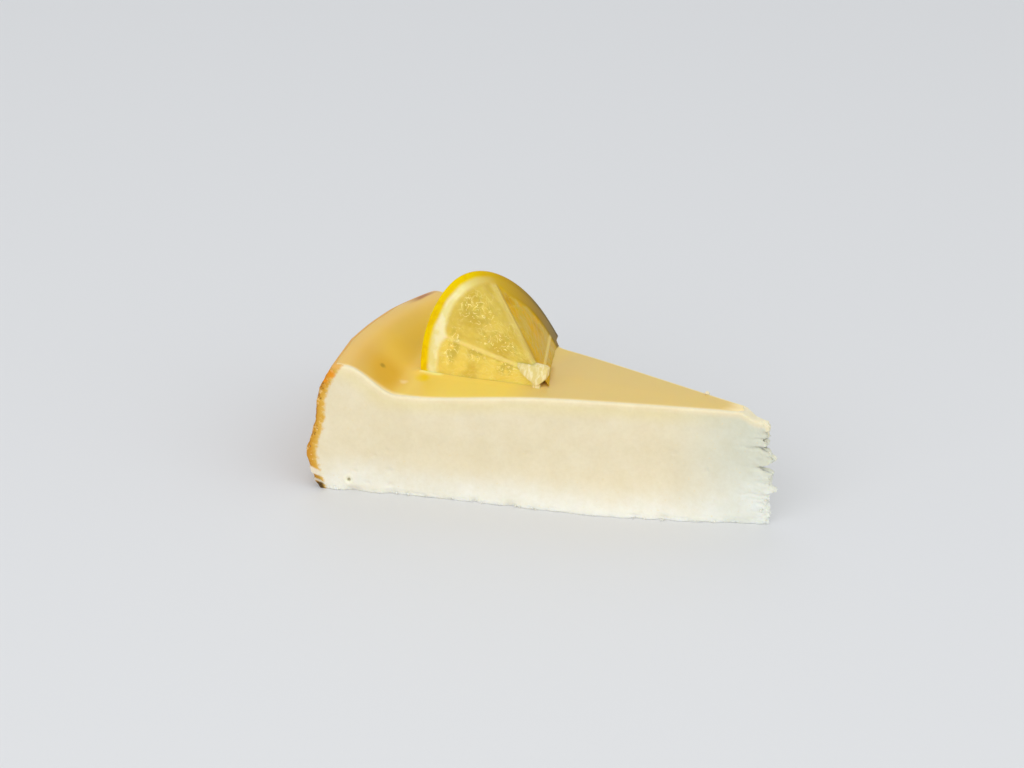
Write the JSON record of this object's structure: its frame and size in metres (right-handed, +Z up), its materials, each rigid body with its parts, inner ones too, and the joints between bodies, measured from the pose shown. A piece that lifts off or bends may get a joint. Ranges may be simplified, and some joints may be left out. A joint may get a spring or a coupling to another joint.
{
  "type": "yuzu cheesecake slice",
  "caption": "Wedge of baked cheesecake with a browned wall and raised rim, an amber citrus glaze on its top and a bent piece of citrus wheel standing in the glaze.",
  "frame": {"origin": "on the underside, at mid length, straight behind the tip", "axes": "+X from the browned outer wall to the tip, +Z up, the two cut faces on the -Y and +Y sides"},
  "size_m": [0.1194, 0.063, 0.0526],
  "materials": {
    "baked_cake": "baked cream cheese cake, matt and faintly moist, with a golden brown outer wall",
    "citrus_glaze": "clear amber citrus jelly, glossy",
    "citrus_fruit": "wet citrus flesh with pale pith and yellow peel"
  },
  "bodies": {
    "root": {"cake_body": "baked_cake", "yuzu_glaze": "citrus_glaze", "citrus_slice": "citrus_fruit"}
  },
  "joints": []
}
